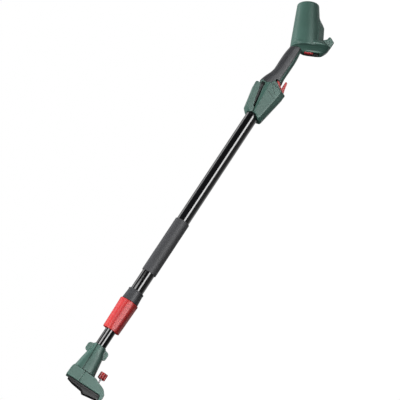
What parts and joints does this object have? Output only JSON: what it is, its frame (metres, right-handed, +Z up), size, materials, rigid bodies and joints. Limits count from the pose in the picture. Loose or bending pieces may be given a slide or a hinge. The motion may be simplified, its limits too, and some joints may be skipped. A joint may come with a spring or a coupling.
{
  "type": "telescopic extension handle for battery hedge shears",
  "caption": "Telescopic pole for battery hedge shears: trigger handle with tilted battery head, foam sleeve, twist lock and plug-in tool adapter.",
  "frame": {"origin": "on the floor, under the middle of the object's length and width, with the pole lying level on the adapter's toe and the battery head's bumper", "axes": "+X along the pole towards the battery head, +Z up, +Y away from the side with the open screw-free face; the trigger faces down (-Z)"},
  "size_m": [1.1077, 0.077, 0.1275],
  "materials": {
    "green_moulding": "satin moulded plastic with a fine grain",
    "red_moulding": "semi-gloss moulded plastic",
    "soft_grip_rubber": "matt over-moulded rubber",
    "dark_grey_nylon": "satin",
    "black_nylon": "satin",
    "foam_rubber": "matt closed-cell foam",
    "black_anodised_tube": "gloss black anodised",
    "zinc_plated_steel": "zinc plated",
    "contact_brass": "bright",
    "circuit_board": "solder mask",
    "cable_sheath": "satin"
  },
  "bodies": {
    "handle": {"handle_shell_left": "green_moulding", "handle_shell_right": "green_moulding", "grip_cover": "soft_grip_rubber", "lock_collar": "dark_grey_nylon", "switch_module": "black_nylon", "terminal_block": "black_nylon", "collet": "black_nylon", "foam_grip": "foam_rubber", "outer_tube": "black_anodised_tube", "trigger_pin": "zinc_plated_steel", "trigger_spring": "zinc_plated_steel", "lever_pin_left": "zinc_plated_steel", "lever_pin_right": "zinc_plated_steel", "lever_spring": "zinc_plated_steel", "latch_spring": "zinc_plated_steel", "shell_screw_1": "zinc_plated_steel", "shell_screw_2": "zinc_plated_steel", "shell_screw_3": "zinc_plated_steel", "shell_screw_4": "zinc_plated_steel", "shell_screw_5": "zinc_plated_steel", "shell_screw_6": "zinc_plated_steel", "shell_screw_7": "zinc_plated_steel", "contact_blade_left": "contact_brass", "contact_blade_right": "contact_brass", "control_board": "circuit_board", "supply_cable": "cable_sheath", "coiled_cable": "cable_sheath"},
    "inner_pole": {"inner_tube": "black_anodised_tube", "guide_bush": "black_nylon", "inner_lead": "cable_sheath", "adapter_body": "green_moulding", "adapter_cover": "green_moulding", "adapter_toe": "green_moulding", "slide_plug": "black_nylon", "ear_screw_top": "zinc_plated_steel", "ear_screw_bottom": "zinc_plated_steel", "cover_screw_left": "zinc_plated_steel", "cover_screw_right": "zinc_plated_steel", "plug_screw_left": "zinc_plated_steel", "plug_screw_right": "zinc_plated_steel", "thread_insert": "contact_brass", "plug_blade_left": "contact_brass", "plug_blade_right": "contact_brass"},
    "trigger": {"trigger": "red_moulding"},
    "switch_plunger": {"switch_plunger": "dark_grey_nylon"},
    "lock_off_lever": {"lock_off_lever": "green_moulding"},
    "battery_latch": {"battery_latch": "red_moulding"},
    "lock_sleeve": {"lock_sleeve": "red_moulding"},
    "wedge_ring": {"wedge_ring": "black_nylon"},
    "captive_washer": {"captive_washer": "zinc_plated_steel"},
    "thumbscrew": {"thumb_knob": "red_moulding", "thumb_screw": "zinc_plated_steel"}
  },
  "joints": [
    {"name": "trigger_pull", "type": "hinge", "parent": "handle", "child": "trigger", "pos_m": [0.2995, 0, 0.0393], "axis": [0, -1, 0], "range_deg": [0, 6.5], "stiffness_Nm_per_rad": 0.4, "springref_deg": -17.19, "deforming": ["trigger_spring"]},
    {"name": "switch_press", "type": "slide", "parent": "handle", "child": "switch_plunger", "axis": [-1, 0, 0], "range_m": [0, 0.0021]},
    {"name": "lock_off_press", "type": "hinge", "parent": "handle", "child": "lock_off_lever", "pos_m": [0.2275, 0, 0.079], "axis": [0, 1, 0], "range_deg": [0, 4], "stiffness_Nm_per_rad": 0.5, "springref_deg": -17.19, "deforming": ["lever_spring"]},
    {"name": "latch_slide", "type": "slide", "parent": "handle", "child": "battery_latch", "axis": [0.8854, 0, 0.4648], "range_m": [0, 0.0035], "stiffness_N_per_m": 400, "springref_m": -0.01, "deforming": ["latch_spring"]},
    {"name": "lock_turn", "type": "hinge", "parent": "handle", "child": "lock_sleeve", "pos_m": [-0.361, 0, 0.0688], "axis": [1, 0, 0], "range_deg": [-120, 0]},
    {"name": "wedge_slide", "type": "slide", "parent": "handle", "child": "wedge_ring", "axis": [-1, 0, 0], "range_m": [0, 0.0017]},
    {"name": "tube_extend", "type": "slide", "parent": "handle", "child": "inner_pole", "axis": [-1, 0, 0], "range_m": [0, 0.4], "deforming": ["coiled_cable"]},
    {"name": "screw_travel", "type": "slide", "parent": "inner_pole", "child": "captive_washer", "axis": [1, 0, 0], "range_m": [0, 0.0036]},
    {"name": "screw_turn", "type": "hinge", "parent": "captive_washer", "child": "thumbscrew", "pos_m": [-0.496, 0, 0.0268], "axis": [1, 0, 0], "range_deg": [0, 1800]}
  ],
  "couplings": [
    {"joint": "switch_press", "follows": "trigger_pull", "m_per_rad": 0.0185},
    {"joint": "wedge_slide", "follows": "lock_turn", "m_per_rad": -0.00076},
    {"joint": "screw_travel", "follows": "screw_turn", "m_per_rad": 0.00011141}
  ]
}
